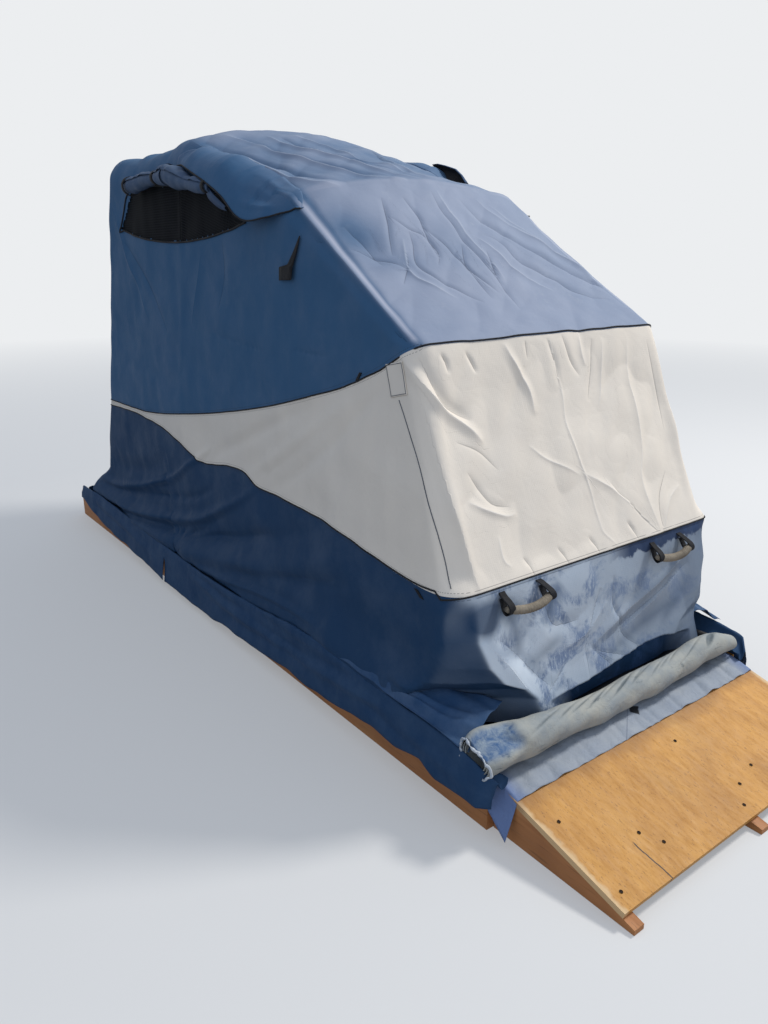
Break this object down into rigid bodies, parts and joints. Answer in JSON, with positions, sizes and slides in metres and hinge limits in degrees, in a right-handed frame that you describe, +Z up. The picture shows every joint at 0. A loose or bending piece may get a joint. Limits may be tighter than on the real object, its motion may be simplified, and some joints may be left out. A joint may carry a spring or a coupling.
{
  "type": "motorcycle shelter",
  "caption": "Clamshell fabric motorcycle shelter on folding steel bows, standing on a plywood platform with a loading ramp.",
  "frame": {"origin": "middle of the platform's underside, on the bottom edge of its centre joist, which rests on the ground", "axes": "+X to the right of someone who faces the rear, +Y from the ramp towards the rear, +Z up"},
  "size_m": [1.38, 4.148, 2.0903],
  "materials": {
    "plywood": "bare weathered plywood",
    "framing_timber": "bare sawn timber",
    "steel_tube": "black powder coat",
    "zinc_steel": "zinc plated",
    "blue_fabric": "coated polyester",
    "faded_blue_fabric": "faded coated polyester",
    "white_fabric": "coated polyester",
    "black_mesh": "woven mesh",
    "handle_webbing": "webbing and padded grip"
  },
  "bodies": {
    "root": {"deck_sheet_front": "plywood", "deck_sheet_middle": "plywood", "deck_sheet_rear": "plywood", "ramp_sheet": "plywood", "side_board_left": "framing_timber", "side_board_right": "framing_timber", "end_board_front": "framing_timber", "end_board_rear": "framing_timber", "floor_joists": "framing_timber", "ramp_header": "framing_timber", "ramp_stringers": "framing_timber", "rail_left": "steel_tube", "rail_right": "steel_tube", "rail_rear": "steel_tube", "pivot_bracket_left": "zinc_steel", "pivot_bracket_right": "zinc_steel", "pivot_pin_left": "zinc_steel", "pivot_pin_right": "zinc_steel", "rear_bow": "steel_tube", "rear_cover": "blue_fabric", "skirt_left": "blue_fabric", "skirt_right": "blue_fabric", "skirt_front": "faded_blue_fabric", "skirt_back": "blue_fabric"},
    "roof_frame": {"roof_bow": "steel_tube", "vent_cover": "blue_fabric", "vent_mesh_rear": "black_mesh", "vent_flap_rear": "blue_fabric"},
    "brow_frame": {"brow_bow": "steel_tube", "crown_cover": "blue_fabric", "vent_mesh_front": "black_mesh", "vent_flap_front": "blue_fabric", "vent_visors": "blue_fabric"},
    "upper_frame": {"upper_front_bow": "steel_tube", "slope_cover": "blue_fabric"},
    "lower_frame": {"lower_front_bow": "steel_tube", "front_cover": "white_fabric", "grab_handle_left": "handle_webbing", "grab_handle_right": "handle_webbing"},
    "hem_frame": {"hem_bow": "steel_tube", "lower_cover": "faded_blue_fabric", "hem_roll": "faded_blue_fabric"}
  },
  "joints": [
    {"name": "roof_bow_fold", "type": "hinge", "parent": "root", "child": "roof_frame", "pos_m": [0, 0.3, 0.205], "axis": [-1, 0, 0], "range_deg": [0, 22], "deforming": ["vent_cover", "vent_mesh_rear", "vent_flap_rear"]},
    {"name": "brow_bow_fold", "type": "hinge", "parent": "roof_frame", "child": "brow_frame", "pos_m": [0, 0.3, 0.205], "axis": [-1, 0, 0], "range_deg": [0, 22.9], "deforming": ["crown_cover", "vent_mesh_front", "vent_flap_front", "vent_visors"]},
    {"name": "upper_bow_fold", "type": "hinge", "parent": "brow_frame", "child": "upper_frame", "pos_m": [0, 0.3, 0.205], "axis": [-1, 0, 0], "range_deg": [0, 19.9], "deforming": ["slope_cover"]},
    {"name": "lower_bow_fold", "type": "hinge", "parent": "upper_frame", "child": "lower_frame", "pos_m": [0, 0.3, 0.205], "axis": [-1, 0, 0], "range_deg": [0, 16.2], "deforming": ["front_cover"]},
    {"name": "hem_bow_fold", "type": "hinge", "parent": "lower_frame", "child": "hem_frame", "pos_m": [0, 0.3, 0.205], "axis": [-1, 0, 0], "range_deg": [0, 8.6], "deforming": ["lower_cover"]}
  ],
  "couplings": [
    {"joint": "brow_bow_fold", "follows": "roof_bow_fold", "ratio": 1.04},
    {"joint": "upper_bow_fold", "follows": "roof_bow_fold", "ratio": 0.9},
    {"joint": "lower_bow_fold", "follows": "roof_bow_fold", "ratio": 0.735},
    {"joint": "hem_bow_fold", "follows": "roof_bow_fold", "ratio": 0.39}
  ]
}
